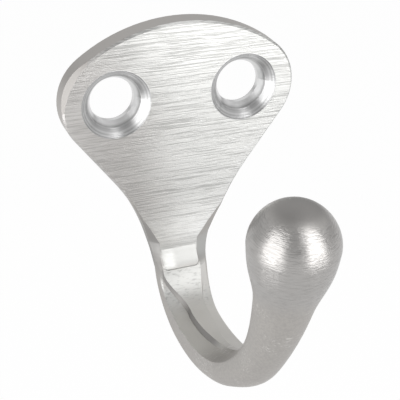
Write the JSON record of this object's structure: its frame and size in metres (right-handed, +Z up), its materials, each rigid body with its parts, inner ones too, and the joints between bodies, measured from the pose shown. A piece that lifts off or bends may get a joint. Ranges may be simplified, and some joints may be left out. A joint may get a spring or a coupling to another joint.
{
  "type": "coat hook",
  "caption": "Cast coat hook: flat rounded screw plate with countersunk holes, narrowing to a neck and an arm that bends forward and up to a rounded knob.",
  "frame": {"origin": "on the wall plane, midway between the two screw holes", "axes": "+Z up, the wall is the plane Y = 0, the hook comes forward along -Y, +X is to the right seen from the front"},
  "size_m": [0.0362, 0.0477, 0.0503],
  "materials": {
    "cast_aluminium": "cast, with a linished front face and a satin polished arm"
  },
  "bodies": {
    "root": {"coat_hook": "cast_aluminium"}
  },
  "joints": []
}
